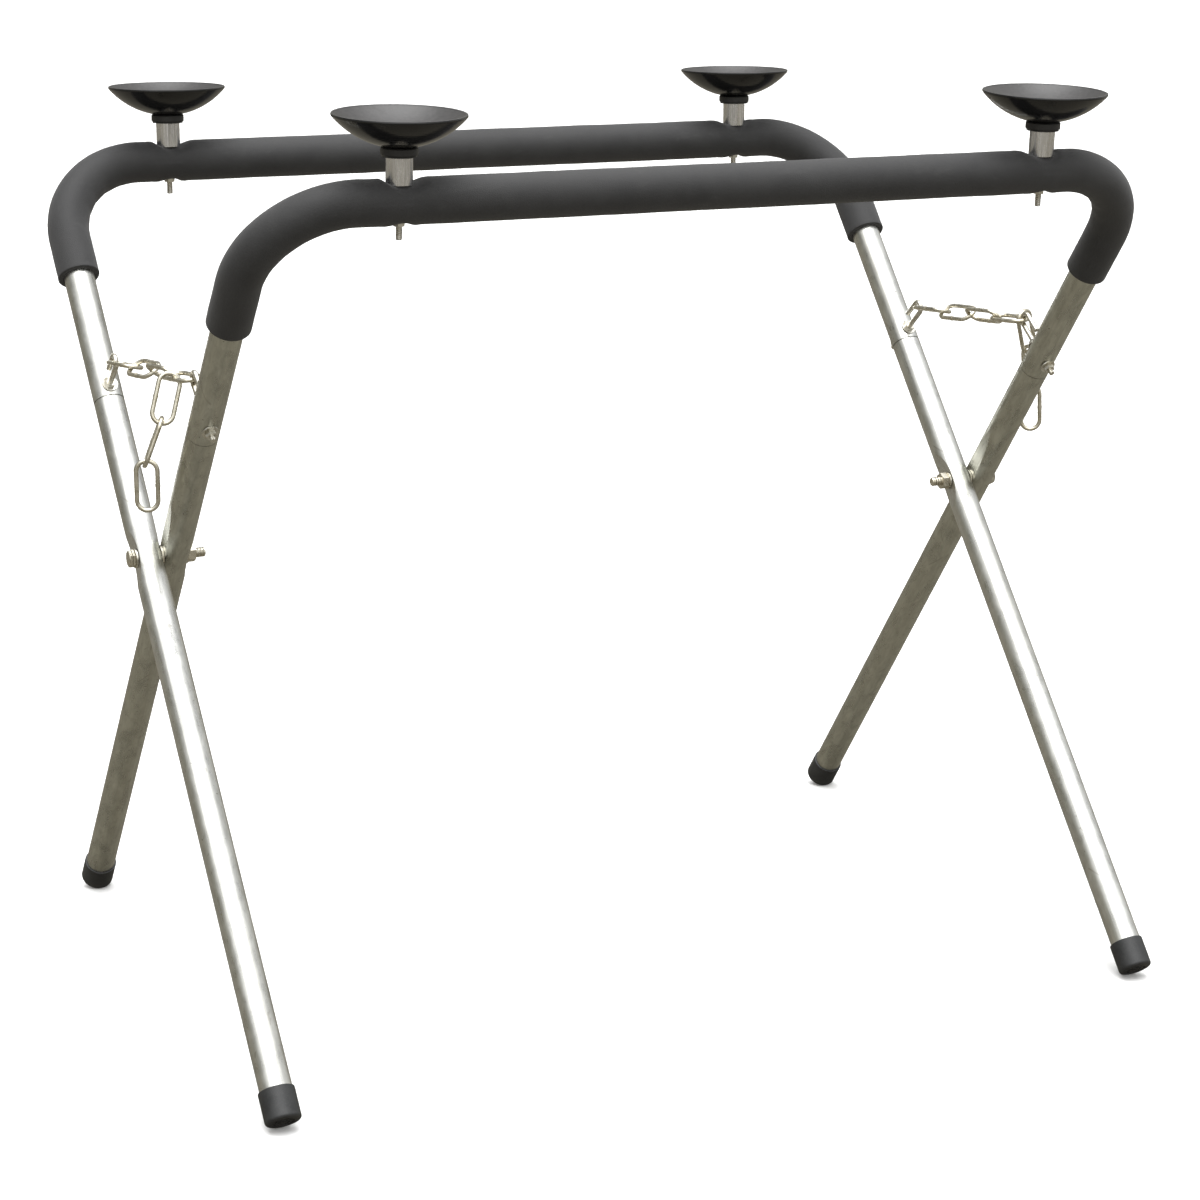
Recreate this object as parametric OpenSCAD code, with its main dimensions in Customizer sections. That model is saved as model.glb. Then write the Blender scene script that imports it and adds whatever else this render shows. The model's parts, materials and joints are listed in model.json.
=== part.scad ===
// Folding padded work stand: two U-shaped tube frames crossed in an X,
// foam sleeves on the top bars, four cup supports and two check chains.
// Origin: on the floor, under the middle of the stand. +X along the top
// bars, -Y is the side where frame A's top bar is, +Z up.

/* [Overall] */
// Distance from the middle of a frame to the axis of each leg
leg_half_span = 477; // [420:1:520]
// Distance between the two frames along X, axis to axis
frame_shift = 28.2; // [28:0.1:29]
// Pivot bolt to top bar axis, along the leg
upper_reach = 481; // [460:1:500]
// Pivot bolt to foot end on frame A, along the leg
lower_reach_a = 576; // [570:1:585]
// Pivot bolt to foot end on frame B, along the leg
lower_reach_b = 603; // [598:1:608]
// Lean of frame B's legs from the vertical when open, in degrees
lean_b = 40.7; // [40:0.1:41]

/* [Tubes] */
// Outer diameter of the leg tubes
tube_d = 32; // [31.8:0.1:32.2]
// Wall thickness of the leg tubes
tube_wall = 1.5; // [1.2:0.1:2]
// Centreline radius of the two bends in each U tube
bend_r = 95; // [85:1:105]
// Height of the joint between upper and lower tube above the pivot, frame A
joint_v_a = 181; // [176:1:186]
// Height of the joint between upper and lower tube above the pivot, frame B
joint_v_b = 184; // [180:1:188]
// Length of the reduced tube end inside the U tube
spigot_len = 55; // [45:1:60]
// Depth of the long flattening on the faces where the legs cross
dent_inner = 2.75; // [2.7:0.05:3]
// Radius of the arc that shapes the long flattening
dent_arc = 1150; // [1100:50:1300]
// Depth of the pressed seat under the middle washer
dent_seat = 3.7; // [3.6:0.1:4]
// Depth of the flattening under the bolt head and the nut
dent_outer = 5.3; // [5:0.1:5.5]
// Pivot bolt diameter
pivot_d = 10; // [10:1:10]

/* [Foam] */
// Outer diameter of the foam sleeves
foam_d = 44; // [40:0.5:46]
// Distance from the top bar axis down to the end of the foam, frame A
foam_drop_a = 149; // [140:1:155]
// Distance from the top bar axis down to the end of the foam, frame B
foam_drop_b = 143; // [135:1:150]

/* [Cups] */
// Distance from the middle of the frame to each cup
cup_x = 347; // [320:1:355]
// Sideways shift of frame A's pair of cups
cup_shift_a = 7; // [0:1:10]
// Angle between the cup axis and the frame plane, frame A
cup_tilt_a = 34.5; // [33:0.5:38]
// Angle between the cup axis and the frame plane, frame B
cup_tilt_b = 40.4; // [38:0.1:41]
// Outer diameter of the cup rim
cup_d = 126; // [116:1:126]
// Height of the rim above the bar axis
rim_z = 80; // [76:1:82]
// Diameter of the collar under the cup
collar_d = 35; // [32:1:38]
// Outer diameter of the spacer tube
spacer_d = 25.4; // [24:0.1:26]
// Stud diameter
stud_d = 6; // [6:1:6]

/* [Feet] */
// Outer diameter of the foot caps
cap_d = 35.6; // [34.6:0.2:36.4]
// Length of the foot caps
cap_len = 32; // [28:1:36]
// Rounding of the cap's bottom edge
cap_edge = 3.5; // [2:0.5:4]

/* [Hooks and chains] */
// Distance from the tube joint up to the hook bolt, frame A
hook_above_a = 20.5; // [18:0.5:22]
// Distance from the tube joint up to the hook bolt, frame B
hook_above_b = 11.5; // [11:0.5:14]
// Wire diameter of the hook bolts
hook_wire = 5.6; // [5:0.1:6]
// Distance from the tube's surface to the centre of the hook's bend
hook_len = 31.3; // [31:0.1:32]
// Centreline radius of the hook's bend
hook_r = 6.8; // [6.6:0.1:7]
// Wire diameter of the chain links
link_wire = 4.7; // [4.4:0.1:4.8]
// Outer length of a chain link
link_len = 54.8; // [54:0.2:55.2]
// Outer width of a chain link
link_w = 25.5; // [24.5:0.5:26]

/* [Hidden] */
$fn = 64;

tube_r = tube_d / 2;
bore_r = tube_r - tube_wall;
spigot_r = bore_r - 0.1;
foam_r = foam_d / 2;
cap_r = cap_d / 2;
cap_floor = 4;

// Height of the pivot, from frame B standing on the rounded edges of its feet
edge_v = cap_r - cap_edge;
H = (lower_reach_b - cap_edge) * cos(lean_b) + edge_v * sin(lean_b) + cap_edge;
// Lean of frame A that puts its feet on the same floor
reach_a = lower_reach_a - cap_edge;
lean_a = atan2(edge_v, reach_a) + acos((H - cap_edge) / sqrt(reach_a * reach_a + edge_v * edge_v));
// Pivot position that centres the feet on the origin
front_reach = (lower_reach_b - cap_edge) * sin(lean_b) + edge_v * cos(lean_b) + cap_edge;
back_reach = reach_a * sin(lean_a) + edge_v * cos(lean_a) + cap_edge;
pivot_y = (front_reach - back_reach) / 2;

hook_v_a = joint_v_a + hook_above_a;
hook_v_b = joint_v_b + hook_above_b;

steel = [0.72, 0.72, 0.70];
dark_steel = [0.56, 0.56, 0.52];
zinc = [0.78, 0.77, 0.72];
black = [0.10, 0.10, 0.10];
foam_black = [0.17, 0.17, 0.17];

// ---- frame placement -------------------------------------------------
// A frame is drawn in its own plane: X across, Z up along the legs, origin at
// the pivot line, +Y towards the other frame above the pivot.
module place_a() { translate([frame_shift / 2, pivot_y, H]) rotate([lean_a, 0, 0]) children(); }
module place_b() { translate([-frame_shift / 2, pivot_y, H]) rotate([-lean_b, 0, 0]) rotate([0, 0, 180]) children(); }

// A point of a frame in the stand's own coordinates: v along the leg, p out
// from the leg's axis towards the other frame
function at_a(x, v, p) = [x, pivot_y - v * sin(lean_a) + p * cos(lean_a), H + v * cos(lean_a) + p * sin(lean_a)];
function at_b(x, v, p) = [x, pivot_y + v * sin(lean_b) - p * cos(lean_b), H + v * cos(lean_b) + p * sin(lean_b)];

// ---- bent tube path ----------------------------------------------------
// Solid rod of radius r along the U, from height v0 on one leg to the other
module u_rod(r, v0) {
  a = leg_half_span;
  for (s = [-1, 1]) {
    translate([s * a, 0, v0]) cylinder(r = r, h = upper_reach - bend_r - v0);
    translate([s * (a - bend_r), 0, upper_reach - bend_r])
      rotate([90, 0, 0]) rotate([0, 0, s > 0 ? 0 : 90])
        rotate_extrude(angle = 90) translate([bend_r, 0]) circle(r = r);
  }
  translate([-(a - bend_r), 0, upper_reach]) rotate([0, 90, 0]) cylinder(r = r, h = 2 * (a - bend_r));
}

// Children on the cup axis of each cup: s is -1 or 1
module on_cup(s, shift, tilt) {
  translate([s * cup_x + shift, 0, upper_reach]) rotate([-tilt, 0, 0]) children();
}
module on_cups(shift, tilt) { for (s = [-1, 1]) on_cup(s, shift, tilt) children(); }

module u_tube(joint_v, hook_v, shift, tilt) {
  difference() {
    u_rod(tube_r, joint_v);
    u_rod(bore_r, joint_v - 1);
    on_cups(shift, tilt) translate([0, 0, -30]) cylinder(r = stud_d / 2 + 0.25, h = 60);
    for (s = [-1, 1]) translate([s * leg_half_span, 40, hook_v]) rotate([90, 0, 0]) cylinder(r = hook_wire / 2 + 0.2, h = 80);
  }
}

// ---- lower legs ----------------------------------------------------------
// Long shallow arc that flattens the tube on its side sx, to the given depth
module flat_arc(sx, depth, arc_r, grow) {
  translate([sx * (tube_r - depth + arc_r), 30, 0]) rotate([90, 0, 0]) cylinder(r = arc_r + grow, h = 60, $fn = 128);
}

// facing: the X side that faces the other frame's leg; gap: left open at the joint
module lower_leg(sx, facing, reach, joint_v, hook_v, gap) {
  translate([sx * leg_half_span, 0, 0]) difference() {
    union() {
      difference() {
        translate([0, 0, -(reach - cap_floor - 0.1)]) cylinder(r = tube_r, h = reach - cap_floor - 0.1 + joint_v - gap);
        flat_arc(facing, dent_inner, dent_arc, 0);
        flat_arc(facing, dent_seat, 160, 0);
        flat_arc(-facing, dent_outer, 110, 0);
      }
      translate([0, 0, joint_v - 8]) cylinder(r = spigot_r, h = spigot_len + 8);
    }
    difference() {
      translate([0, 0, -reach]) cylinder(r = bore_r, h = reach + joint_v - 12);
      flat_arc(facing, dent_inner, dent_arc, tube_wall);
      flat_arc(facing, dent_seat, 160, tube_wall);
      flat_arc(-facing, dent_outer, 110, tube_wall);
    }
    translate([0, 0, joint_v - 14]) cylinder(r1 = bore_r, r2 = bore_r - tube_wall - 0.1, h = 5);
    translate([0, 0, joint_v - 9.01]) cylinder(r = bore_r - tube_wall - 0.1, h = spigot_len + 12);
    rotate([0, 90, 0]) translate([0, 0, -30]) cylinder(r = pivot_d / 2 + 0.05, h = 60);
    translate([0, 40, hook_v]) rotate([90, 0, 0]) cylinder(r = hook_wire / 2 + 0.2, h = 80);
  }
}

// ---- foam sleeve -----------------------------------------------------------
module foam_sleeve(drop, shift, tilt) {
  difference() {
    u_rod(foam_r, upper_reach - drop);
    u_rod(tube_r + 0.15, upper_reach - drop - 1);
    on_cups(shift, tilt) {
      translate([0, 0, 8]) cylinder(r = spacer_d / 2 + 0.3, h = 30);
      translate([0, 0, -40]) cylinder(r = 8.3, h = 32);
    }
  }
}

// ---- feet ------------------------------------------------------------------
module foot_cap(sx, reach) {
  e = cap_edge;
  translate([sx * leg_half_span, 0, -reach]) difference() {
    rotate_extrude() union() {
      translate([0, e]) square([cap_r, cap_len - e - 1]);
      translate([0, cap_len - 2]) square([cap_r - 1, 2]);
      translate([cap_r - 1, cap_len - 1]) intersection() { circle(r = 1); square(1); }
      square([cap_r - e, e + 1]);
      translate([cap_r - e, e]) circle(r = e);
    }
    translate([0, 0, cap_floor]) cylinder(r = tube_r + 0.05, h = cap_len);
    // tread rings in the sole
    for (r = [5, 9.5]) translate([0, 0, -1]) difference() { cylinder(r = r + 1, h = 1.8); translate([0, 0, -1]) cylinder(r = r - 1, h = 4); }
  }
}

// ---- cups ------------------------------------------------------------------
// Arc from p to q that bulges by sag to the right of the direction p to q
function arc_pts(p, q, sag, n) =
  let (c = norm(q - p), r = (c * c / 4 + sag * sag) / (2 * sag), m = (p + q) / 2,
       u = (q - p) / c, nrm = [-u[1], u[0]], ctr = m + nrm * (r - sag),
       a0 = atan2(p[1] - ctr[1], p[0] - ctr[0]), a1 = atan2(q[1] - ctr[1], q[0] - ctr[0]))
  [for (i = [0 : n]) ctr + r * [cos(a0 + (a1 - a0) * i / n), sin(a0 + (a1 - a0) * i / n)]];

function reversed(v) = [for (i = [len(v) - 1 : -1 : 0]) v[i]];

cup_r = cup_d / 2;
collar_top = rim_z - 29.5;
collar_bottom = collar_top - 9;
bowl_floor = rim_z - 21;

module cup() {
  difference() {
    rotate_extrude($fn = 96) polygon(concat(
      [[0, collar_top], [13, collar_top]],
      arc_pts([18, collar_top + 0.8], [cup_r - 0.3, rim_z - 1.6], 4.2, 16),
      [[cup_r, rim_z - 0.4], [cup_r - 0.4, rim_z + 0.7], [cup_r - 1.5, rim_z + 1.1], [cup_r - 2.6, rim_z + 0.7]],
      reversed(arc_pts([0, bowl_floor], [cup_r - 3.2, rim_z], 5.4, 16))));
    translate([0, 0, collar_top - 1]) cylinder(r = stud_d / 2 - 0.2, h = 3.05);
    translate([0, 0, collar_top + 2]) cylinder(r = 9.05, h = 3.1);
  }
}

module cup_collar() {
  difference() {
    rotate_extrude() polygon([[0, collar_bottom], [collar_d / 2 - 1.2, collar_bottom], [collar_d / 2 - 1.2, collar_bottom + 1],
      [collar_d / 2 - 0.2, collar_bottom + 1.8], [collar_d / 2, collar_bottom + 2.4], [collar_d / 2, collar_top - 1.2],
      [collar_d / 2 - 1, collar_top - 0.05], [0, collar_top - 0.05]]);
    translate([0, 0, collar_bottom - 1]) cylinder(r = spacer_d / 2 + 0.1, h = 4.1);
    cylinder(r = stud_d / 2 - 0.15, h = 100);
  }
}

module spacer_tube() {
  difference() {
    translate([0, 0, tube_r + 0.05]) cylinder(r = spacer_d / 2, h = collar_bottom + 3 - tube_r - 0.05);
    cylinder(r = spacer_d / 2 - 2, h = 100);
  }
}

// Threaded free end below the nut, slimmer shank above it
nut_bottom = tube_r + 6.7;
module cup_stud() {
  union() {
    translate([0, 0, -35.5]) cylinder(r1 = stud_d / 2 - 0.6, r2 = stud_d / 2, h = 1);
    translate([0, 0, -34.5]) cylinder(r = stud_d / 2, h = 34.5 - nut_bottom);
    translate([0, 0, -nut_bottom - 1]) cylinder(r = stud_d / 2 - 0.25, h = nut_bottom + 1 + collar_top + 2.5);
    translate([0, 0, collar_top + 2.05]) cylinder(r = 9, h = 3);
  }
}

module washer(r_out, r_in, h) { difference() { cylinder(r = r_out, h = h); translate([0, 0, -1]) cylinder(r = r_in, h = h + 2); } }

// Hexagon nut with chamfered corners, standing on z = 0
module nut(af, h, r_in) {
  difference() {
    intersection() {
      cylinder(r = af / 2 / cos(30), h = h, $fn = 6);
      rotate_extrude() polygon([[0, 0], [af / 2 + 0.1, 0], [af / 2 / cos(30) + 0.05, 0.7], [af / 2 / cos(30) + 0.05, h - 0.7], [af / 2 + 0.1, h], [0, h]]);
    }
    translate([0, 0, -1]) cylinder(r = r_in, h = h + 2);
  }
}

module cup_washer() { translate([0, 0, -(tube_r + 1.5)]) washer(7.2, stud_d / 2 - 0.15, 1.4); }
module cup_nut() { translate([0, 0, -(tube_r + 6.6)]) nut(10, 5, stud_d / 2 - 0.23); }

// ---- hook bolts ------------------------------------------------------------
// Bolt along Y through the leg; bent into a hook on the +Y side, tip above
module hook_bolt(hook_v) {
  bend_y = tube_r + hook_len;
  translate([0, 0, hook_v]) union() {
    translate([0, bend_y, 0]) rotate([90, 0, 0]) cylinder(r = hook_wire / 2, h = bend_y + tube_r + 12);
    translate([0, bend_y, hook_r]) rotate([0, -90, 0]) rotate([0, 0, 0])
      rotate([0, 0, 0]) hook_bend();
    translate([0, bend_y, 2 * hook_r]) rotate([90, 0, 0]) cylinder(r = hook_wire / 2, h = hook_len - 9);
  }
}
// Half ring in the plane of the bolt, opening towards the leg
module hook_bend() { rotate([0, 0, 0]) rotate_extrude(angle = 180) translate([hook_r, 0]) circle(r = hook_wire / 2, $fn = 32); }

// ---- chain links -----------------------------------------------------------
// Long axis along X, loop in the XZ plane, centred; weld mark on one side
module link_body() {
  r = (link_w - link_wire) / 2;
  l = link_len - link_w;
  w = link_wire / 2;
  union() {
    for (s = [-1, 1]) translate([-l / 2, 0, s * r]) rotate([0, 90, 0]) cylinder(r = w, h = l, $fn = 32);
    for (s = [0, 180]) rotate([0, s, 0]) translate([l / 2, 0, 0]) rotate([90, 0, 0]) rotate([0, 0, -90])
      rotate_extrude(angle = 180) translate([r, 0]) circle(r = w, $fn = 32);
    translate([-1.4, 0, r]) rotate([0, 90, 0]) cylinder(r = w + 0.3, h = 2.8, $fn = 32);
  }
}
module link_at(c, d, roll) {
  u = d / norm(d);
  translate(c) rotate([0, 0, atan2(u[1], u[0])]) rotate([0, -asin(u[2]), 0]) rotate([roll, 0, 0]) link_body();
}

bar_gap = hook_r - hook_wire / 2 - link_wire / 2 - 0.3;
function hook_point_a(x) = at_a(x, hook_v_a + hook_r - bar_gap * sin(lean_a), tube_r + hook_len + bar_gap * cos(lean_a));
function hook_point_b(x) = at_b(x, hook_v_b + hook_r - bar_gap * sin(lean_b), tube_r + hook_len + bar_gap * cos(lean_b));
bar_span = link_len - link_wire;
// Rotation of each taut link about the chain's line
link_roll = [78.3, 125.7, 229, 277.4];

function chain_from(sx) = hook_point_b(sx * leg_half_span - frame_shift / 2);
function chain_to(sx) = hook_point_a(sx * leg_half_span + frame_shift / 2);

// Link n, 1 to 4, of the taut chain between the two hooks
module taut_link(sx, n) {
  p = chain_from(sx); q = chain_to(sx);
  d = (q - p) / norm(q - p);
  pitch = (norm(q - p) - bar_span) / 3;
  link_at(p + d * (pitch * (n - 1) + bar_span / 2), d, link_roll[n - 1]);
}

// A point of a link's own axes, turned as link_at turns the link
function turned(v, d, roll) =
  let (u = d / norm(d), az = atan2(u[1], u[0]), el = asin(u[2]),
       y = cos(roll) * v[1] - sin(roll) * v[2], z = sin(roll) * v[1] + cos(roll) * v[2],
       x = cos(el) * v[0] - sin(el) * z)
  [cos(az) * x - sin(az) * y, sin(az) * x + cos(az) * y, sin(el) * v[0] + cos(el) * z];

// Spare links 5 to 7 hang over a side wire of link 4, left and right chain:
// place along link 4, height of link 5's bow above the wire, which side wire
hang_at = [[-3.92, 5.42, -1], [9.15, 5.85, 1]];
// Directions of links 5, 6 and 7, and their turn about them
hang_dir = [[[-0.299, -0.125, -1], [-0.407, 0.011, -1], [0.008, 0.036, -1]], [[0.373, 0.212, -1], [0.101, 0.02, -1], [0.047, -0, -1]]];
hang_roll = [[40.9, 104.4, 95.6], [10.8, 93.5, 24.9]];
// From one hanging link's bow to the next, a little slack included
hang_step = bar_span - link_wire - 0.6;
module hanging_link(sx, n) {
  p = chain_from(sx); q = chain_to(sx);
  d = (q - p) / norm(q - p);
  i = sx < 0 ? 0 : 1;
  at = hang_at[i];
  dirs = [for (v = hang_dir[i]) v / norm(v)];
  wire = q - d * bar_span / 2 + turned([at[0], 0, at[2] * (link_w - link_wire) / 2], d, link_roll[3]);
  tops = [wire + [0, 0, at[1]], wire + [0, 0, at[1]] + dirs[0] * hang_step, wire + [0, 0, at[1]] + (dirs[0] + dirs[1]) * hang_step];
  link_at(tops[n - 5] + dirs[n - 5] * bar_span / 2, dirs[n - 5], hang_roll[i][n - 5]);
}

// ---- pivot hardware --------------------------------------------------------
// Drawn on the left leg pair; head towards -X. o: X of frame B's or A's outer leg
module pivot_stack(part) {
  outer = -frame_shift / 2 - tube_r + dent_outer;
  inner = frame_shift / 2 + tube_r - dent_outer;
  r = pivot_d / 2;
  rotate([0, 90, 0]) {
    if (part == "bolt") union() {
      translate([0, 0, outer - 2.65]) cylinder(r = r, h = inner - outer + 2.65 + 20.8);
      translate([0, 0, inner + 20.8]) cylinder(r1 = r, r2 = r - 0.9, h = 1);
      translate([0, 0, outer - 2.65 - 6.3]) intersection() {
        cylinder(r = 8 / cos(30), h = 6.3, $fn = 6);
        rotate_extrude() polygon([[0, 0], [7.9, 0], [8 / cos(30) + 0.05, 1], [8 / cos(30) + 0.05, 6.3], [0, 6.3]]);
      }
    }
    if (part == "washers") {
      translate([0, 0, outer - 2.6]) washer(10, r + 0.1, 1.8);
      translate([0, 0, -1.1]) washer(11, r + 0.1, 2.2);
      translate([0, 0, inner + 0.8]) washer(10, r + 0.1, 1.8);
    }
    if (part == "nut") translate([0, 0, inner + 2.65]) nut(16, 8, r + 0.02);
  }
}
module at_pivots(part) {
  translate([-leg_half_span, pivot_y, H]) pivot_stack(part);
  translate([leg_half_span, pivot_y, H]) rotate([0, 0, 180]) pivot_stack(part);
}

// ---- sub-parts, one per node ------------------------------------------------
module hooks(f, hook_v, part) {
  for (s = [-1, 1]) translate([s * leg_half_span, 0, 0]) {
    if (part == "washers") {
      translate([0, tube_r + 0.05, hook_v]) rotate([-90, 0, 0]) washer(8.2, hook_wire / 2 + 0.1, 1.4);
      translate([0, -tube_r - 0.05, hook_v]) rotate([90, 0, 0]) washer(8.2, hook_wire / 2 + 0.1, 1.4);
    }
    if (part == "nuts") {
      translate([0, tube_r + 1.5, hook_v]) rotate([-90, 0, 0]) nut(10, 4.4, hook_wire / 2 + 0.02);
      translate([0, -tube_r - 1.5, hook_v]) rotate([90, 0, 0]) nut(10, 5, hook_wire / 2 + 0.02);
    }
  }
}

module u_tube_a() color(dark_steel) place_a() u_tube(joint_v_a, hook_v_a, cup_shift_a, cup_tilt_a);
module lower_leg_a_left() color(dark_steel) place_a() lower_leg(-1, -1, lower_reach_a, joint_v_a, hook_v_a, 0.5);
module lower_leg_a_right() color(dark_steel) place_a() lower_leg(1, -1, lower_reach_a, joint_v_a, hook_v_a, 0.5);
module foam_sleeve_a() color(foam_black) place_a() foam_sleeve(foam_drop_a, cup_shift_a, cup_tilt_a);
module foot_cap_a_left() color(black) place_a() foot_cap(-1, lower_reach_a);
module foot_cap_a_right() color(black) place_a() foot_cap(1, lower_reach_a);
module cup_a_left() color(black) place_a() on_cup(-1, cup_shift_a, cup_tilt_a) cup();
module cup_a_right() color(black) place_a() on_cup(1, cup_shift_a, cup_tilt_a) cup();
module cup_collars_a() color(black) place_a() on_cups(cup_shift_a, cup_tilt_a) cup_collar();
module spacer_tubes_a() color(steel) place_a() on_cups(cup_shift_a, cup_tilt_a) spacer_tube();
module cup_studs_a() color(zinc) place_a() on_cups(cup_shift_a, cup_tilt_a) cup_stud();
module cup_washers_a() color(zinc) place_a() on_cups(cup_shift_a, cup_tilt_a) cup_washer();
module cup_nuts_a() color(zinc) place_a() on_cups(cup_shift_a, cup_tilt_a) cup_nut();
module hook_bolt_a_left() color(zinc) place_a() translate([-leg_half_span, 0, 0]) hook_bolt(hook_v_a);
module hook_bolt_a_right() color(zinc) place_a() translate([leg_half_span, 0, 0]) hook_bolt(hook_v_a);
module hook_washers_a() color(zinc) place_a() hooks("a", hook_v_a, "washers");
module hook_nuts_a() color(zinc) place_a() hooks("a", hook_v_a, "nuts");

// Frame B is the same frame turned round, so its left leg is drawn on +X
module u_tube_b() color(steel) place_b() u_tube(joint_v_b, hook_v_b, 0, cup_tilt_b);
module lower_leg_b_left() color(steel) place_b() lower_leg(1, -1, lower_reach_b, joint_v_b, hook_v_b, 1.4);
module lower_leg_b_right() color(steel) place_b() lower_leg(-1, -1, lower_reach_b, joint_v_b, hook_v_b, 1.4);
module foam_sleeve_b() color(foam_black) place_b() foam_sleeve(foam_drop_b, 0, cup_tilt_b);
module foot_cap_b_left() color(black) place_b() foot_cap(1, lower_reach_b);
module foot_cap_b_right() color(black) place_b() foot_cap(-1, lower_reach_b);
module cup_b_left() color(black) place_b() on_cup(1, 0, cup_tilt_b) cup();
module cup_b_right() color(black) place_b() on_cup(-1, 0, cup_tilt_b) cup();
module cup_collars_b() color(black) place_b() on_cups(0, cup_tilt_b) cup_collar();
module spacer_tubes_b() color(steel) place_b() on_cups(0, cup_tilt_b) spacer_tube();
module cup_studs_b() color(zinc) place_b() on_cups(0, cup_tilt_b) cup_stud();
module cup_washers_b() color(zinc) place_b() on_cups(0, cup_tilt_b) cup_washer();
module cup_nuts_b() color(zinc) place_b() on_cups(0, cup_tilt_b) cup_nut();
module hook_bolt_b_left() color(zinc) place_b() translate([leg_half_span, 0, 0]) hook_bolt(hook_v_b);
module hook_bolt_b_right() color(zinc) place_b() translate([-leg_half_span, 0, 0]) hook_bolt(hook_v_b);
module hook_washers_b() color(zinc) place_b() hooks("b", hook_v_b, "washers");
module hook_nuts_b() color(zinc) place_b() hooks("b", hook_v_b, "nuts");

module pivot_bolts() color(zinc) at_pivots("bolt");
module pivot_washers() color(zinc) at_pivots("washers");
module pivot_nuts() color(zinc) at_pivots("nut");

module link_left_1() color(zinc) taut_link(-1, 1);
module link_left_2() color(zinc) taut_link(-1, 2);
module link_left_3() color(zinc) taut_link(-1, 3);
module link_left_4() color(zinc) taut_link(-1, 4);
module link_left_5() color(zinc) hanging_link(-1, 5);
module link_left_6() color(zinc) hanging_link(-1, 6);
module link_left_7() color(zinc) hanging_link(-1, 7);
module link_right_1() color(zinc) taut_link(1, 1);
module link_right_2() color(zinc) taut_link(1, 2);
module link_right_3() color(zinc) taut_link(1, 3);
module link_right_4() color(zinc) taut_link(1, 4);
module link_right_5() color(zinc) hanging_link(1, 5);
module link_right_6() color(zinc) hanging_link(1, 6);
module link_right_7() color(zinc) hanging_link(1, 7);

u_tube_a();
lower_leg_a_left();
lower_leg_a_right();
foam_sleeve_a();
foot_cap_a_left();
foot_cap_a_right();
cup_a_left();
cup_a_right();
cup_collars_a();
spacer_tubes_a();
cup_studs_a();
cup_washers_a();
cup_nuts_a();
hook_bolt_a_left();
hook_bolt_a_right();
hook_washers_a();
hook_nuts_a();
u_tube_b();
lower_leg_b_left();
lower_leg_b_right();
foam_sleeve_b();
foot_cap_b_left();
foot_cap_b_right();
cup_b_left();
cup_b_right();
cup_collars_b();
spacer_tubes_b();
cup_studs_b();
cup_washers_b();
cup_nuts_b();
hook_bolt_b_left();
hook_bolt_b_right();
hook_washers_b();
hook_nuts_b();
pivot_bolts();
pivot_washers();
pivot_nuts();
link_left_1();
link_left_2();
link_left_3();
link_left_4();
link_left_5();
link_left_6();
link_left_7();
link_right_1();
link_right_2();
link_right_3();
link_right_4();
link_right_5();
link_right_6();
link_right_7();
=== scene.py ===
import bpy, bmesh, math, json
from mathutils import Vector, Matrix, noise


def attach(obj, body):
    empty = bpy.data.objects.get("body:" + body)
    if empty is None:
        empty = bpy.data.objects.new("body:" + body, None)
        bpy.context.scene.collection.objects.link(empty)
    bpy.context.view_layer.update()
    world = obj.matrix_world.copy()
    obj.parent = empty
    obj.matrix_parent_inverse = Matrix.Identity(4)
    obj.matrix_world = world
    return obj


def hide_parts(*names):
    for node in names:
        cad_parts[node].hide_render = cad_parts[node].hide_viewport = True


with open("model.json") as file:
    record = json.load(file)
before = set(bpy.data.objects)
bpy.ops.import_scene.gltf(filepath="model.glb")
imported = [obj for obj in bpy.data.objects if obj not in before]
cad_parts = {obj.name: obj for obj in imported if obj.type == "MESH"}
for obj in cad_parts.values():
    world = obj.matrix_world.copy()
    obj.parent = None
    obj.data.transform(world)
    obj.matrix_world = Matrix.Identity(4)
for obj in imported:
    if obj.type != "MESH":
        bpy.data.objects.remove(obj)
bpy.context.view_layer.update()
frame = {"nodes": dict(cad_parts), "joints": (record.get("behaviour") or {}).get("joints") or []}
NODES = frame["nodes"]

# ------------------------------------------------------------------ geometry
# The stand's own measures, in metres, as in the CAD
SHIFT = 0.0282
UP = 0.481
SPAN = 0.477
BEND = 0.095
TUBE_R = 0.016
FOAM_R = 0.022
CUP_X = 0.347
LEAN_A, LEAN_B = math.radians(37.342266), math.radians(40.7)
fold = [j for j in frame["joints"] if j["name"] == "fold"][0]
PIVOT = Vector(fold["pos_m"])

T_A = Matrix.Translation(Vector((SHIFT / 2, PIVOT.y, PIVOT.z))) @ Matrix.Rotation(LEAN_A, 4, "X")
T_B = Matrix.Translation(Vector((-SHIFT / 2, PIVOT.y, PIVOT.z))) @ Matrix.Rotation(-LEAN_B, 4, "X") @ Matrix.Rotation(math.pi, 4, "Z")

# ------------------------------------------------------------------ camera
scene = bpy.context.scene
cam_data = bpy.data.cameras.new("camera")
cam_data.sensor_width = 36
cam_data.lens = 89.25
cam_data.clip_end = 200
cam = bpy.data.objects.new("camera", cam_data)
scene.collection.objects.link(cam)
yaw, pitch, roll = math.radians(24.94), math.radians(14.13), math.radians(0.25)
fwd = Vector((math.sin(yaw) * math.cos(pitch), math.cos(yaw) * math.cos(pitch), -math.sin(pitch)))
right0 = Vector((math.cos(yaw), -math.sin(yaw), 0))
up0 = right0.cross(fwd)
right = right0 * math.cos(roll) + up0 * math.sin(roll)
up = -right0 * math.sin(roll) + up0 * math.cos(roll)
m = Matrix((right, up, -fwd)).transposed().to_4x4()
m.translation = Vector((-1.31062, -2.82859, 1.16226))
cam.matrix_world = m
scene.camera = cam

# ------------------------------------------------------------------ node helpers


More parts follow.
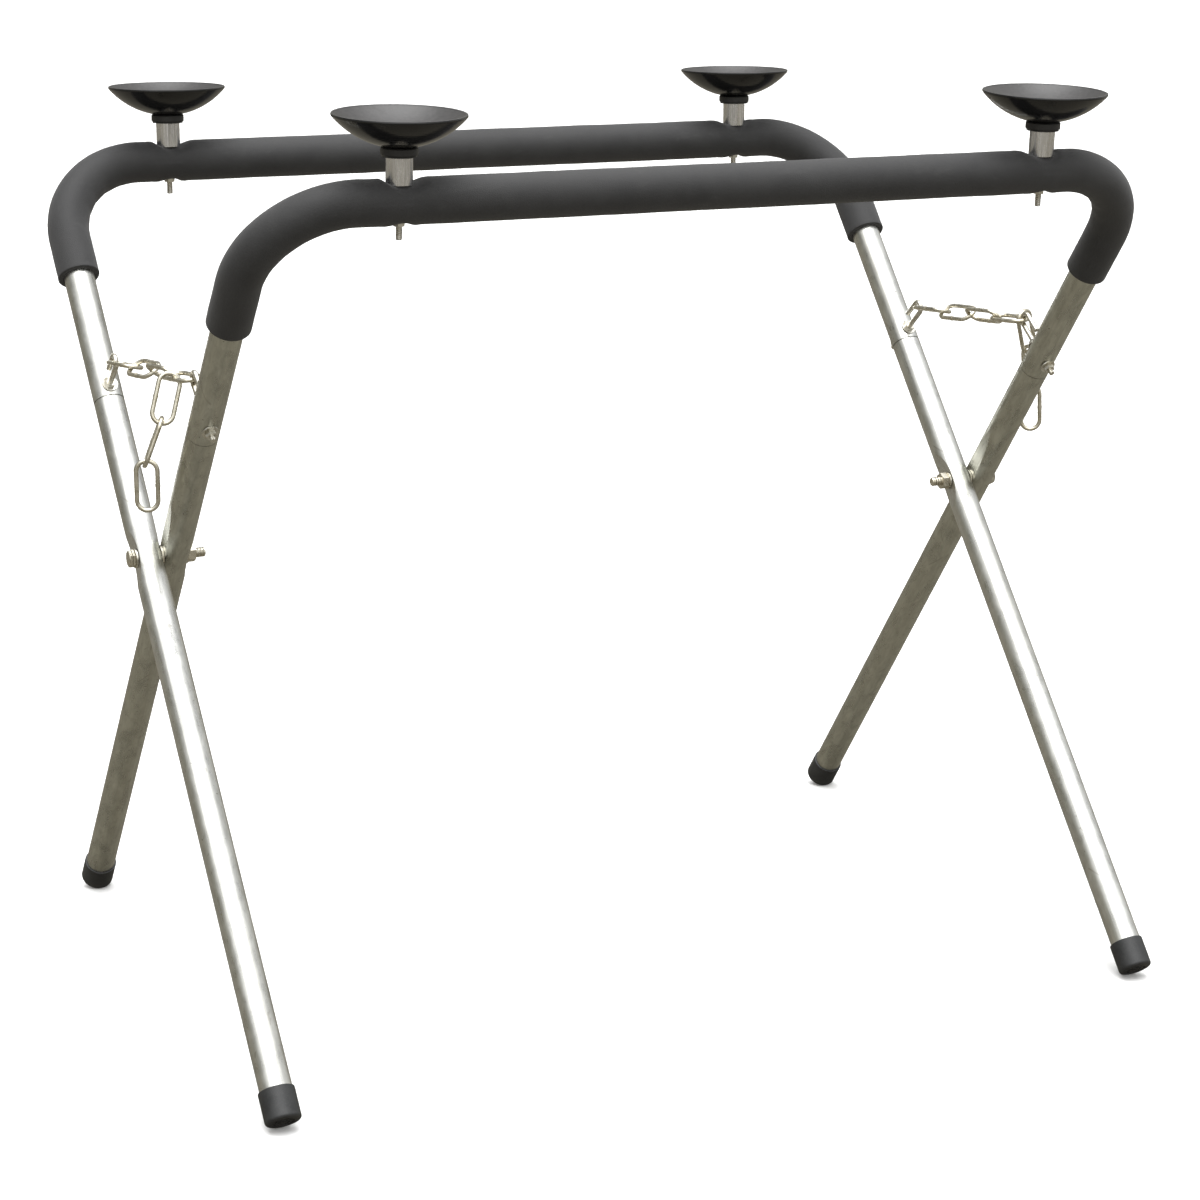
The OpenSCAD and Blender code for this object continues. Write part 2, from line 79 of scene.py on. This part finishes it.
class Net:
    """A small wrapper that builds one material's node tree."""

    def __init__(self, name):
        self.mat = bpy.data.materials.new(name)
        self.mat.use_nodes = True
        self.t = self.mat.node_tree
        self.t.nodes.clear()
        self.out = self.t.nodes.new("ShaderNodeOutputMaterial")
        self.bsdf = self.t.nodes.new("ShaderNodeBsdfPrincipled")
        self.t.links.new(self.bsdf.outputs[0], self.out.inputs[0])
        self.coord = self.t.nodes.new("ShaderNodeTexCoord")

    def set(self, **kw):
        for k, v in kw.items():
            self.bsdf.inputs[k.replace("_", " ")].default_value = v

    def link(self, a, b):
        self.t.links.new(a, b)

    def mapping(self, rot=(0, 0, 0), scale=(1, 1, 1), loc=(0, 0, 0)):
        n = self.t.nodes.new("ShaderNodeMapping")
        n.inputs["Rotation"].default_value = rot
        n.inputs["Scale"].default_value = scale
        n.inputs["Location"].default_value = loc
        self.link(self.coord.outputs["Object"], n.inputs["Vector"])
        return n.outputs[0]

    def rescale(self, vec, scale):
        n = self.t.nodes.new("ShaderNodeMapping")
        n.inputs["Scale"].default_value = scale
        self.link(vec, n.inputs["Vector"])
        return n.outputs[0]

    def noise(self, vec, scale, detail=4, rough=0.55, distort=0.0):
        n = self.t.nodes.new("ShaderNodeTexNoise")
        n.inputs["Scale"].default_value = scale
        n.inputs["Detail"].default_value = detail
        n.inputs["Roughness"].default_value = rough
        n.inputs["Distortion"].default_value = distort
        self.link(vec, n.inputs["Vector"])
        return n.outputs["Fac"]

    def voronoi(self, vec, scale, feature="F1", out="Distance", rnd=1.0):
        n = self.t.nodes.new("ShaderNodeTexVoronoi")
        n.feature = feature
        n.inputs["Scale"].default_value = scale
        n.inputs["Randomness"].default_value = rnd
        self.link(vec, n.inputs["Vector"])
        return n.outputs[out]

    def wave(self, vec, scale, direction="Z", kind="BANDS", distortion=0.0):
        n = self.t.nodes.new("ShaderNodeTexWave")
        n.wave_type = kind
        n.bands_direction = direction
        n.inputs["Scale"].default_value = scale
        n.inputs["Distortion"].default_value = distortion
        self.link(vec, n.inputs["Vector"])
        return n.outputs["Fac"]

    def ramp(self, fac, stops, interp="LINEAR"):
        n = self.t.nodes.new("ShaderNodeValToRGB")
        n.color_ramp.interpolation = interp
        el = n.color_ramp.elements
        while len(el) < len(stops):
            el.new(0.5)
        for e, (p, c) in zip(el, stops):
            e.position = p
            e.color = (c, c, c, 1) if isinstance(c, (int, float)) else (*c, 1)
        self.link(fac, n.inputs[0])
        return n.outputs[0]

    def math(self, op, a, b=None, clamp=False):
        n = self.t.nodes.new("ShaderNodeMath")
        n.operation = op
        n.use_clamp = clamp
        for i, v in enumerate((a, b)):
            if v is None:
                continue
            if isinstance(v, (int, float)):
                n.inputs[i].default_value = v
            else:
                self.link(v, n.inputs[i])
        return n.outputs[0]

    def mix(self, fac, a, b, kind="MIX"):
        n = self.t.nodes.new("ShaderNodeMix")
        n.data_type = "RGBA"
        n.blend_type = kind
        for sock, v in (("Factor", fac), ("A", a), ("B", b)):
            s = [i for i in n.inputs if i.name == sock and i.enabled and (i.type == ("VALUE" if sock == "Factor" else "RGBA"))][0]
            if isinstance(v, (int, float)):
                s.default_value = v
            elif isinstance(v, tuple):
                s.default_value = (*v, 1)
            else:
                self.link(v, s)
        return [o for o in n.outputs if o.enabled and o.type == "RGBA"][0]

    def range(self, fac, lo, hi, a, b):
        n = self.t.nodes.new("ShaderNodeMapRange")
        for k, v in (("From Min", lo), ("From Max", hi), ("To Min", a), ("To Max", b)):
            n.inputs[k].default_value = v
        self.link(fac, n.inputs["Value"])
        return n.outputs[0]

    def bump(self, height, strength, distance, normal=None):
        n = self.t.nodes.new("ShaderNodeBump")
        n.inputs["Strength"].default_value = strength
        n.inputs["Distance"].default_value = distance
        self.link(height, n.inputs["Height"])
        if normal is not None:
            self.link(normal, n.inputs["Normal"])
        return n.outputs[0]

    def geometry(self, out):
        n = self.t.nodes.new("ShaderNodeNewGeometry")
        return n.outputs[out]

    def split(self, vec):
        n = self.t.nodes.new("ShaderNodeSeparateXYZ")
        self.link(vec, n.inputs[0])
        return n.outputs

    def color(self, sock):
        self.link(sock, self.bsdf.inputs["Base Color"])

    def rough(self, sock):
        self.link(sock, self.bsdf.inputs["Roughness"])

    def normal(self, sock):
        self.link(sock, self.bsdf.inputs["Normal"])


# ------------------------------------------------------------------ materials
def tube_material(name, lean, tint, dark):
    """Galvanised steel tube drawn along its axis: streaks, zinc mottling, specks and scratches."""
    n = Net(name)
    n.set(Metallic=1.0, Anisotropic=0.35)
    along = n.mapping(rot=(lean, 0, 0))
    streak = n.noise(n.rescale(along, (1, 1, 0.012)), 420, 3, 0.6)
    broad = n.noise(n.rescale(along, (1, 1, 0.05)), 70, 3, 0.5)
    mottle = n.noise(n.rescale(along, (1, 1, 0.45)), 95, 6, 0.62, 0.5)
    spots = n.noise(along, 260, 2, 0.5)
    cells = n.voronoi(n.rescale(along, (1, 1, 0.5)), 150, out="Color")
    cell = n.split(cells)[0]
    light = tint
    base = n.mix(n.ramp(mottle, [(0.36, 0.0), (0.66, 1.0)]), tuple(c * dark for c in light), light)
    base = n.mix(n.ramp(cell, [(0.2, 0.0), (1.0, 0.16)]), base, tuple(min(1, c * 1.16) for c in light))
    base = n.mix(n.ramp(streak, [(0.40, 0.0), (0.72, 0.28)]), base, tuple(c * 0.62 for c in light))
    base = n.mix(n.ramp(broad, [(0.45, 0.0), (0.75, 0.30)]), base, (0.50, 0.48, 0.40))
    speck = n.ramp(spots, [(0.70, 0.0), (0.735, 1.0)])
    speck = n.math("MULTIPLY", speck, n.ramp(n.noise(along, 22, 2, 0.5), [(0.48, 0.0), (0.62, 1.0)]))
    base = n.mix(n.math("MULTIPLY", speck, 0.75), base, (0.20, 0.185, 0.155))
    # short scratches at two slants
    for rot, scale in (((lean + 0.55, 0.35, 0.2), 150), ((lean - 0.3, -0.45, 0.9), 190)):
        v = n.rescale(n.mapping(rot=rot), (1, 1, 0.03))
        s = n.ramp(n.noise(v, scale, 1, 0.4), [(0.745, 0.0), (0.765, 1.0)])
        s = n.math("MULTIPLY", s, 0.4)
        base = n.mix(s, base, (0.33, 0.31, 0.27))
    n.color(base)
    r = n.math("ADD", n.range(mottle, 0.3, 0.75, 0.24, 0.37), n.range(streak, 0.3, 0.8, -0.03, 0.07))
    r = n.math("ADD", r, n.math("MULTIPLY", speck, 0.25), clamp=True)
    n.rough(r)
    b = n.bump(streak, 0.22, 0.0004)
    b = n.bump(mottle, 0.16, 0.0006, b)
    b = n.bump(spots, 0.05, 0.0004, b)
    n.normal(b)
    return n.mat


def zinc_material(name, tint, dark, threads=None, rough=(0.22, 0.36)):
    """Bright zinc plating, slightly yellow, dulled in patches; threads is (direction rotation, pitch) or None."""
    n = Net(name)
    n.set(Metallic=1.0)
    v = n.coord.outputs["Object"]
    patch = n.noise(v, 130, 5, 0.6, 0.4)
    fine = n.noise(v, 900, 3, 0.5)
    tone = n.noise(v, 28, 2, 0.5)
    base = n.mix(n.ramp(patch, [(0.35, 0.0), (0.68, 1.0)]), dark, tint)
    base = n.mix(n.ramp(tone, [(0.42, 0.0), (0.7, 0.45)]), base, (0.62, 0.55, 0.40))
    pits = n.ramp(n.voronoi(v, 420), [(0.0, 1.0), (0.10, 0.0)])
    pits = n.math("MULTIPLY", pits, n.ramp(patch, [(0.50, 0.0), (0.62, 0.8)]))
    base = n.mix(pits, base, (0.24, 0.22, 0.18))
    n.color(base)
    n.rough(n.range(patch, 0.3, 0.75, rough[0], rough[1]))
    b = n.bump(fine, 0.08, 0.0003)
    b = n.bump(patch, 0.10, 0.0006, b)
    if threads:
        rot, pitch = threads
        w = n.wave(n.mapping(rot=rot), 1.0 / (pitch * 20.0) * math.pi, "Z")
        b = n.bump(w, 0.9, pitch * 0.6, b)
    n.normal(b)
    return n.mat


def spacer_material():
    """Bright tube, polished along its length."""
    n = Net("spacer_steel")
    n.set(Metallic=1.0, Anisotropic=0.45)
    v = n.coord.outputs["Object"]
    line = n.noise(n.rescale(v, (1, 1, 0.02)), 900, 3, 0.6)
    wide = n.noise(n.rescale(v, (1, 1, 0.05)), 160, 2, 0.5)
    stain = n.noise(v, 90, 4, 0.6)
    base = n.mix(n.ramp(line, [(0.35, 0.0), (0.7, 1.0)]), (0.66, 0.66, 0.68), (0.93, 0.93, 0.95))
    base = n.mix(n.ramp(wide, [(0.45, 0.0), (0.7, 0.3)]), base, (0.60, 0.55, 0.45))
    base = n.mix(n.ramp(stain, [(0.58, 0.0), (0.72, 0.35)]), base, (0.42, 0.42, 0.42))
    n.color(base)
    n.rough(n.range(line, 0.3, 0.8, 0.19, 0.33))
    n.normal(n.bump(line, 0.18, 0.0003))
    return n.mat


def foam_material():
    """Closed-cell foam: matt black skin with fine pores, soft undulation and rubbed lighter patches."""
    n = Net("foam_black")
    n.set(Metallic=0.0, Specular_IOR_Level=0.32, Sheen_Weight=0.22, Sheen_Roughness=0.55)
    n.bsdf.inputs["Sheen Tint"].default_value = (0.62, 0.62, 0.64, 1)
    v = n.coord.outputs["Object"]
    pores = n.voronoi(v, 1150)
    pore_shade_cells = n.voronoi(v, 520)
    grain = n.noise(v, 1500, 3, 0.6)
    cloud = n.noise(v, 26, 4, 0.55, 0.3)
    rub = n.noise(n.rescale(v, (0.35, 1, 1)), 60, 5, 0.65)
    base = n.mix(n.ramp(cloud, [(0.35, 0.0), (0.68, 1.0)]), (0.0165, 0.0165, 0.0172), (0.027, 0.027, 0.0275))
    base = n.mix(n.ramp(rub, [(0.60, 0.0), (0.74, 0.55)]), base, (0.042, 0.042, 0.042))
    base = n.mix(n.ramp(grain, [(0.35, 0.0), (0.75, 0.5)]), base, (0.034, 0.034, 0.035))
    # painted shade: the pore centres are darkened to near black, standing in for shade inside the pore hollows
    base = n.mix(n.ramp(pore_shade_cells, [(0.0, 0.7), (0.13, 0.0)]), base, (0.006, 0.006, 0.006))
    n.color(base)
    n.rough(n.math("ADD", n.range(cloud, 0.3, 0.7, 0.60, 0.70), n.range(grain, 0.3, 0.7, -0.04, 0.04)))
    b = n.bump(pores, 0.35, 0.0005)
    b = n.bump(grain, 0.22, 0.0005, b)
    b = n.bump(rub, 0.12, 0.0012, b)
    n.normal(b)
    return n.mat


def cup_material():
    """Moulded black rubber: glossy below, satin and dusty inside the bowl, with the upward-facing inside also painted
    lighter as a painted sheen.
    """
    n = Net("cup_rubber")
    n.set(Metallic=0.0, Specular_IOR_Level=0.42)
    v = n.coord.outputs["Object"]
    facing = n.split(n.coord.outputs["Normal"])[2]
    inside = n.ramp(facing, [(0.35, 0.0), (0.62, 1.0)])
    cloud = n.noise(v, 34, 4, 0.55)
    dust = n.noise(v, 240, 5, 0.65)
    scuff = n.noise(n.rescale(n.mapping(rot=(0, 0, 0.6)), (0.2, 1, 1)), 90, 3, 0.6)
    base = n.mix(n.ramp(cloud, [(0.35, 0.0), (0.7, 1.0)]), (0.0040, 0.0040, 0.0042), (0.0075, 0.0075, 0.0078))
    # painted sheen: the upward-facing inside of the bowl is coloured grey instead of black, standing in for the sheen
    # the satin rubber catches there; the dust noise varies that grey
    inner = n.mix(n.ramp(dust, [(0.40, 0.0), (0.72, 1.0)]), (0.036, 0.035, 0.035), (0.056, 0.054, 0.054))
    base = n.mix(inside, base, inner)
    base = n.mix(n.ramp(scuff, [(0.68, 0.0), (0.80, 0.25)]), base, (0.045, 0.043, 0.042))
    n.color(base)
    r = n.mix(inside, n.range(cloud, 0.3, 0.7, 0.13, 0.19), n.range(dust, 0.3, 0.7, 0.36, 0.47))
    r = n.math("ADD", r, n.ramp(scuff, [(0.66, 0.0), (0.78, 0.14)]), clamp=True)
    n.rough(r)
    b = n.bump(dust, 0.06, 0.0004)
    b = n.bump(cloud, 0.10, 0.0015, b)
    n.normal(b)
    return n.mat


def plastic_material(name, low, high, r0, r1, grain_scale=700, grain=0.18):
    n = Net(name)
    n.set(Metallic=0.0, Specular_IOR_Level=0.45)
    v = n.coord.outputs["Object"]
    cloud = n.noise(v, 60, 4, 0.6)
    grainy = n.noise(v, grain_scale, 4, 0.6)
    scuff = n.noise(n.rescale(n.mapping(rot=(0.7, 0.2, 0.4)), (0.15, 1, 1)), 120, 3, 0.6)
    base = n.mix(n.ramp(cloud, [(0.35, 0.0), (0.7, 1.0)]), low, high)
    base = n.mix(n.ramp(grainy, [(0.45, 0.0), (0.8, 0.4)]), base, tuple(c * 1.7 for c in high))
    base = n.mix(n.ramp(scuff, [(0.64, 0.0), (0.74, 0.45)]), base, (0.075, 0.073, 0.07))
    n.color(base)
    n.rough(n.math("ADD", n.range(cloud, 0.3, 0.7, r0, r1), n.range(grainy, 0.3, 0.7, -0.05, 0.05)))
    b = n.bump(grainy, grain, 0.0004)
    b = n.bump(cloud, 0.08, 0.001, b)
    n.normal(b)
    return n.mat


def foot_material():
    """Moulded rubber cap: satin, worn and dusty on the edge that stands on the floor."""
    n = Net("foot_rubber")
    n.set(Metallic=0.0, Specular_IOR_Level=0.42)
    v = n.coord.outputs["Object"]
    z = n.split(v)[2]
    cloud = n.noise(v, 70, 4, 0.6)
    grainy = n.noise(v, 800, 4, 0.6)
    low = n.ramp(n.math("ADD", z, n.range(cloud, 0.3, 0.7, -0.004, 0.004)), [(0.0, 1.0), (0.012, 0.0)])
    base = n.mix(n.ramp(cloud, [(0.35, 0.0), (0.7, 1.0)]), (0.017, 0.018, 0.019), (0.030, 0.031, 0.032))
    base = n.mix(n.ramp(grainy, [(0.5, 0.0), (0.8, 0.45)]), base, (0.055, 0.055, 0.055))
    base = n.mix(n.math("MULTIPLY", low, 0.5), base, (0.085, 0.082, 0.075))
    n.color(base)
    n.rough(n.math("ADD", n.range(cloud, 0.3, 0.7, 0.42, 0.52), n.math("MULTIPLY", low, 0.2)))
    b = n.bump(grainy, 0.15, 0.0004)
    b = n.bump(cloud, 0.08, 0.001, b)
    n.normal(b)
    return n.mat


# painted shade: frame A gets a darker, more olive copy of the same galvanised steel as frame B, standing in for the
# darker surroundings its tubes reflect
TUBE_A = tube_material("tube_steel_a", -LEAN_A, (0.60, 0.60, 0.535), 0.70)
TUBE_B = tube_material("tube_steel_b", LEAN_B, (0.74, 0.745, 0.72), 0.76)
FOAM = foam_material()
CUP = cup_material()
COLLAR = plastic_material("collar_plastic", (0.013, 0.013, 0.0135), (0.021, 0.021, 0.0215), 0.38, 0.5)
FOOT = foot_material()
SPACER = spacer_material()
CHAIN = zinc_material("chain_zinc", (0.80, 0.77, 0.68), (0.55, 0.52, 0.43))
BOLT = zinc_material("hardware_zinc", (0.76, 0.75, 0.70), (0.55, 0.53, 0.47))
STUD = zinc_material("stud_zinc", (0.74, 0.73, 0.69), (0.52, 0.50, 0.45), threads=((0, 0, 0), 0.001))
PIVOT_BOLT = zinc_material("pivot_zinc", (0.76, 0.74, 0.66), (0.54, 0.52, 0.44), threads=((0, math.radians(90), 0), 0.0015))


def material_for(node):
    if node.startswith(("u_tube_a", "lower_leg_a")):
        return TUBE_A
    if node.startswith(("u_tube_b", "lower_leg_b")):
        return TUBE_B
    if node.startswith("foam"):
        return FOAM
    if node.startswith("cup_collars"):
        return COLLAR
    if node.startswith("cup_studs"):
        return STUD
    if node.startswith(("cup_nuts", "cup_washers")):
        return BOLT
    if node.startswith("cup_"):
        return CUP
    if node.startswith("foot"):
        return FOOT
    if node.startswith("spacer"):
        return SPACER
    if node.startswith("link"):
        return CHAIN
    if node.startswith("pivot_bolts"):
        return PIVOT_BOLT
    return BOLT


for name, obj in NODES.items():
    mats = obj.data.materials
    if len(mats) == 0:
        mats.append(material_for(name))
    for i in range(len(mats)):
        mats[i] = material_for(name)


# ------------------------------------------------------------------ foam sleeves
def smooth(x):
    x = max(0.0, min(1.0, x))
    return x * x * (3 - 2 * x)


def foam_sleeve(name, place, drop, cups, tilt, seed):
    """A thick foam tube round the bent bar, squeezed under each cup's spacer and round the nut below."""
    leg = BEND and (drop - BEND)
    arc = BEND * math.pi / 2
    bar = 2 * (SPAN - BEND)
    total = 2 * leg + 2 * arc + bar

    def path(s):
        """Point, outward normal in the frame's plane, tangent, at distance s from the left end."""
        if s > total / 2:
            p, nn, t = path(total - s)
            return Vector((-p.x, 0, p.z)), Vector((-nn.x, 0, nn.z)), Vector((t.x, 0, -t.z))
        if s < leg:
            return Vector((-SPAN, 0, UP - drop + s)), Vector((-1, 0, 0)), Vector((0, 0, 1))
        if s < leg + arc:
            a = (s - leg) / BEND
            c = Vector((-(SPAN - BEND), 0, UP - BEND))
            nn = Vector((-math.cos(a), 0, math.sin(a)))
            return c + nn * BEND, nn, Vector((math.sin(a), 0, math.cos(a)))
        return Vector((-(SPAN - BEND) + s - leg - arc, 0, UP)), Vector((0, 0, 1)), Vector((1, 0, 0))

    spots = [leg + arc + (x + SPAN - BEND) for x in cups]
    rings, s = [], 0.0
    while s < total - 1e-6:
        rings.append(s)
        near = min(abs(s - c) for c in spots)
        s += 0.0011 if near < 0.034 else (0.0025 if near < 0.05 else 0.0045)
    rings.append(total)
    N = 96
    bm = bmesh.new()
    grid = []

    def radius(s, psi):
        p, nn, t = path(s)
        d = nn * math.cos(psi) + Vector((0, 1, 0)) * math.sin(psi)
        r = FOAM_R
        # slight unevenness of the skin
        q = (p + d * FOAM_R) * 1.0
        r += 0.00030 * noise.noise(q * 22 + Vector((seed, 0, 0))) + 0.00012 * noise.noise(q * 70 + Vector((0, seed, 0)))
        # the bends: drawn thin and flat outside, bunched up inside
        if leg < s < leg + arc or leg < total - s < leg + arc:
            ss = s if s < total / 2 else total - s
            k = math.sin(math.pi * (ss - leg) / arc)
            r -= 0.0010 * k * max(0.0, math.cos(psi)) ** 2
            inner = max(0.0, -math.cos(psi)) ** 3
            r += 0.0005 * k * inner
            r += 0.00028 * k * inner * math.sin((ss - leg) / arc * math.pi * 11 + seed)
        for i, c in enumerate(spots):
            u = s - c
            if abs(u) > 0.05:
                continue
            # angle from the cup axis, which leans by tilt from the frame's plane
            w = math.atan2(math.sin(psi - tilt), math.cos(psi - tilt))
            lat = FOAM_R * math.sin(min(abs(w), math.pi / 2))
            out = 1 if c > total / 2 else -1
            rho = math.hypot(u, lat)
            # a steeper fold on the side of the bend, a gentler slope towards the middle
            reach = 0.0098 - 0.0030 * out * u / max(rho, 0.002)
            rho -= 0.0128
            if abs(w) < math.pi / 2:
                r -= 0.0031 * (1 - smooth(rho / reach))
                r += 0.0004 * math.exp(-((rho - reach * 1.3) / 0.0045) ** 2)
                r -= 0.0007 * (1 - smooth((rho - 0.004) / 0.024))
            v = math.atan2(math.sin(psi - tilt - math.pi), math.cos(psi - tilt - math.pi))
            if abs(v) < math.pi / 2:
                rho2 = math.hypot(u, FOAM_R * math.sin(min(abs(v), math.pi / 2)))
                r -= 0.0030 * (1 - smooth((rho2 - 0.0052) / 0.0085))
                r += 0.0003 * math.exp(-((rho2 - 0.0165) / 0.003) ** 2)
        # rounded cut edge
        e = min(s, total - s)
        if e < 0.0012:
            r -= 0.0012 - math.sqrt(max(0.0, 0.0012 ** 2 - (0.0012 - e) ** 2))
        return r

    ends = [0.0, 0.0003, 0.0007, 0.0012]
    rings = sorted(set([round(x, 7) for x in ends + [total - x for x in ends] + [x for x in rings if 0.0016 < x < total - 0.0016]]))
    for s in rings:
        p, nn, t = path(s)
        row = []
        for i in range(N):
            psi = 2 * math.pi * i / N
            d = nn * math.cos(psi) + Vector((0, 1, 0)) * math.sin(psi)
            row.append(bm.verts.new(place @ (p + d * radius(s, psi))))
        grid.append(row)
    inner = []
    for s in (rings[0], rings[-1]):
        p, nn, t = path(s)
        sets = []
        for rr in (0.0190, 0.0170, TUBE_R + 0.00025):
            row = []
            for i in range(N):
                psi = 2 * math.pi * i / N
                d = nn * math.cos(psi) + Vector((0, 1, 0)) * math.sin(psi)
                wob = 0.00022 * noise.noise((p + d * rr) * 260) if rr > 0.0165 else 0.0
                row.append(bm.verts.new(place @ (p + d * rr + t * wob * 1.0)))
            sets.append(row)
        # the bore, a little way in
        depth = 0.012 if s == rings[0] else -0.012
        row = []
        p2, nn2, t2 = path(s + depth)
        for i in range(N):
            psi = 2 * math.pi * i / N
            d = nn2 * math.cos(psi) + Vector((0, 1, 0)) * math.sin(psi)
            row.append(bm.verts.new(place @ (p2 + d * (TUBE_R + 0.00025))))
        sets.append(row)
        inner.append(sets)

    def bridge(a, b, flip):
        for i in range(N):
            j = (i + 1) % N
            q = (a[i], a[j], b[j], b[i])
            bm.faces.new(q if not flip else q[::-1])

    for a, b in zip(grid, grid[1:]):
        bridge(a, b, False)
    chain = [grid[0]] + inner[0]
    for a, b in zip(chain, chain[1:]):
        bridge(a, b, True)
    chain = [grid[-1]] + inner[1]
    for a, b in zip(chain, chain[1:]):
        bridge(a, b, False)
    last = inner[0][-1]
    for k in range(1, 60):
        p, nn, t = path(0.012 + (total - 0.024) * k / 60)
        row = []
        for i in range(N):
            psi = 2 * math.pi * i / N
            d = nn * math.cos(psi) + Vector((0, 1, 0)) * math.sin(psi)
            row.append(bm.verts.new(place @ (p + d * (TUBE_R + 0.00025))))
        bridge(last, row, True)
        last = row
    bridge(last, inner[1][-1], True)
    bm.normal_update()
    bmesh.ops.recalc_face_normals(bm, faces=bm.faces)
    me = bpy.data.meshes.new(name)
    bm.to_mesh(me)
    bm.free()
    for f in me.polygons:
        f.use_smooth = True
    ob = bpy.data.objects.new(name, me)
    scene.collection.objects.link(ob)
    me.materials.append(FOAM)
    return ob


foam_a = foam_sleeve("foam_detail_a", T_A, 0.149, (-0.347 + 0.007, 0.347 + 0.007), math.radians(34.5), 3.1)
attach(foam_a, "frame_a")
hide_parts("foam_sleeve_a")
foam_b = foam_sleeve("foam_detail_b", T_B, 0.143, (-0.347, 0.347), math.radians(40.4), 8.7)
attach(foam_b, "frame_b")
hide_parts("foam_sleeve_b")

# ------------------------------------------------------------------ floor
me = bpy.data.meshes.new("floor")
bm = bmesh.new()
R = 60.0
vs = [bm.verts.new((x * R, y * R, -0.0004)) for x, y in ((-1, -1), (1, -1), (1, 1), (-1, 1))]
bm.faces.new(vs)
bm.to_mesh(me)
bm.free()
floor = bpy.data.objects.new("floor", me)
scene.collection.objects.link(floor)
fn = Net("floor_pale")
fn.set(Metallic=0.0, Specular_IOR_Level=0.2)
fv = fn.coord.outputs["Object"]
pale = fn.mix(fn.ramp(fn.noise(fv, 1.3, 4, 0.5), [(0.3, 0.0), (0.7, 1.0)]), (0.93, 0.93, 0.93), (0.95, 0.95, 0.948))
# camera rays see the pale floor and all other rays see a dark brownish one: a darker copy of the floor painted for
# reflections and bounce light
path_kind = fn.t.nodes.new("ShaderNodeLightPath")
fn.color(fn.mix(path_kind.outputs["Is Camera Ray"], (0.140, 0.129, 0.104), pale))
fn.rough(fn.range(fn.noise(fv, 6, 3, 0.5), 0.3, 0.7, 0.7, 0.8))
me.materials.append(fn.mat)

# ------------------------------------------------------------------ world and lights
world = bpy.data.worlds.new("studio")
scene.world = world
world.use_nodes = True
wt = world.node_tree
wt.nodes.clear()
wo = wt.nodes.new("ShaderNodeOutputWorld")
bg = wt.nodes.new("ShaderNodeBackground")
wt.links.new(bg.outputs[0], wo.inputs[0])
tc = wt.nodes.new("ShaderNodeTexCoord")


def lobe(direction, stops):
    """A soft patch of the room round one direction: its brightness against the cosine of the angle from it."""
    dot = wt.nodes.new("ShaderNodeVectorMath")
    dot.operation = "DOT_PRODUCT"
    wt.links.new(tc.outputs["Generated"], dot.inputs[0])
    dot.inputs[1].default_value = Vector(direction).normalized()
    mr = wt.nodes.new("ShaderNodeMapRange")
    mr.inputs["From Min"].default_value = -1
    mr.inputs["From Max"].default_value = 1
    wt.links.new(dot.outputs["Value"], mr.inputs["Value"])
    rp = wt.nodes.new("ShaderNodeValToRGB")
    rp.color_ramp.interpolation = "EASE"
    el = rp.color_ramp.elements
    while len(el) < len(stops):
        el.new(0.5)
    for e, (p, c) in zip(el, stops):
        e.position = (p + 1) / 2
        e.color = (*c, 1)
    wt.links.new(mr.outputs[0], rp.inputs[0])
    return rp.outputs[0]


def add(a, b):
    n = wt.nodes.new("ShaderNodeVectorMath")
    n.operation = "ADD"
    wt.links.new(a, n.inputs[0])
    wt.links.new(b, n.inputs[1])
    return n.outputs[0]


room = lobe((0, 0, 1), [(-0.05, (0.25, 0.24, 0.19)), (0.18, (0.30, 0.29, 0.245)), (0.5, (0.42, 0.42, 0.40)), (0.9, (0.95, 0.95, 0.95))])
front = lobe((-0.20, -0.62, 0.80), [(0.35, (0, 0, 0)), (0.72, (0.55, 0.55, 0.54)), (0.86, (1.5, 1.5, 1.5))])
side = lobe((0.95, -0.25, 0.45), [(0.5, (0, 0, 0)), (0.9, (0.40, 0.405, 0.42))])
wt.links.new(add(add(room, front), side), bg.inputs[0])
bg.inputs[1].default_value = 1.0


def area(name, loc, target, size, power, color=(1, 1, 1)):
    d = bpy.data.lights.new(name, "AREA")
    d.shape = "RECTANGLE"
    d.size, d.size_y = size
    d.energy = power
    d.color = color
    o = bpy.data.objects.new(name, d)
    o.location = loc
    o.rotation_mode = "QUATERNION"
    o.rotation_quaternion = (Vector(target) - Vector(loc)).to_track_quat("-Z", "Y")
    scene.collection.objects.link(o)
    return o


def sun(name, direction, strength, angle):
    d = bpy.data.lights.new(name, "SUN")
    d.energy = strength
    d.angle = math.radians(angle)
    o = bpy.data.objects.new(name, d)
    o.rotation_mode = "QUATERNION"
    o.rotation_quaternion = Vector(direction).to_track_quat("-Z", "Y")
    scene.collection.objects.link(o)
    return o


# one very wide overhead light keeps the whole floor evenly pale
sun("overhead", (0.10, 0.16, -1.0), 1.9, 50)
area("top", (0.1, 0.3, 3.6), (0, 0, 0.5), (2.6, 1.4), 34)

scene.view_settings.view_transform = "Standard"
scene.view_settings.look = "None"
